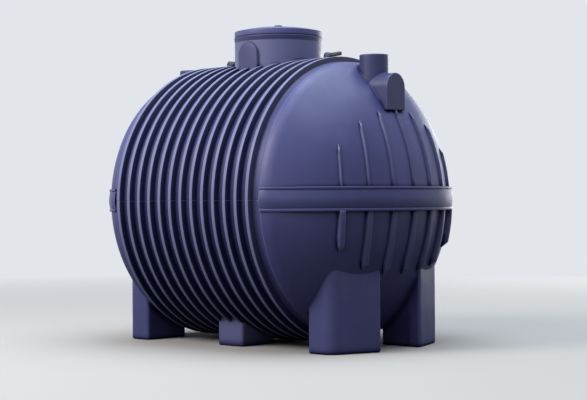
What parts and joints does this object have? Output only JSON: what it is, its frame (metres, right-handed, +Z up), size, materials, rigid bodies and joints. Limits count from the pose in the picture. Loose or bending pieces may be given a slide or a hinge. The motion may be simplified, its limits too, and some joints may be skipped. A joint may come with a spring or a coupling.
{
  "type": "plastic tank",
  "caption": "Horizontal ribbed plastic tank with dished ends, moulded feet, a manhole neck and a lift-off lid, for holding waste or rain water.",
  "frame": {"origin": "on the ground below the middle of the tank", "axes": "+X along the tank to its front end, +Z up, -Y to the left of a person who faces the front end"},
  "size_m": [2.3156, 1.8, 2.063],
  "materials": {
    "tank_plastic": "satin moulded polyethylene",
    "lid_plastic": "satin moulded polyethylene",
    "eye_steel": "dull galvanised"
  },
  "bodies": {
    "tank": {"barrel_lower": "tank_plastic", "barrel_upper": "tank_plastic", "front_band": "tank_plastic", "front_dome": "tank_plastic", "front_left_foot": "tank_plastic", "front_lifting_eye": "eye_steel", "front_lifting_lug": "tank_plastic", "front_lower_ribs": "tank_plastic", "front_pipe_box": "tank_plastic", "front_right_foot": "tank_plastic", "front_upper_ribs": "tank_plastic", "front_vent_stub": "tank_plastic", "middle_left_foot": "tank_plastic", "middle_right_foot": "tank_plastic", "neck": "tank_plastic", "neck_left_pad": "tank_plastic", "neck_right_pad": "tank_plastic", "neck_rim": "tank_plastic", "rear_band": "tank_plastic", "rear_dome": "tank_plastic", "rear_left_foot": "tank_plastic", "rear_lifting_eye": "eye_steel", "rear_lifting_lug": "tank_plastic", "rear_lower_ribs": "tank_plastic", "rear_pipe_box": "tank_plastic", "rear_right_foot": "tank_plastic", "rear_upper_ribs": "tank_plastic", "rear_vent_stub": "tank_plastic"},
    "lid": {"lid": "lid_plastic", "lid_knob": "lid_plastic"}
  },
  "joints": [
    {"name": "lid_lift", "type": "slide", "parent": "tank", "child": "lid", "axis": [0, 0, 1], "range_m": [0, 0.4]}
  ]
}
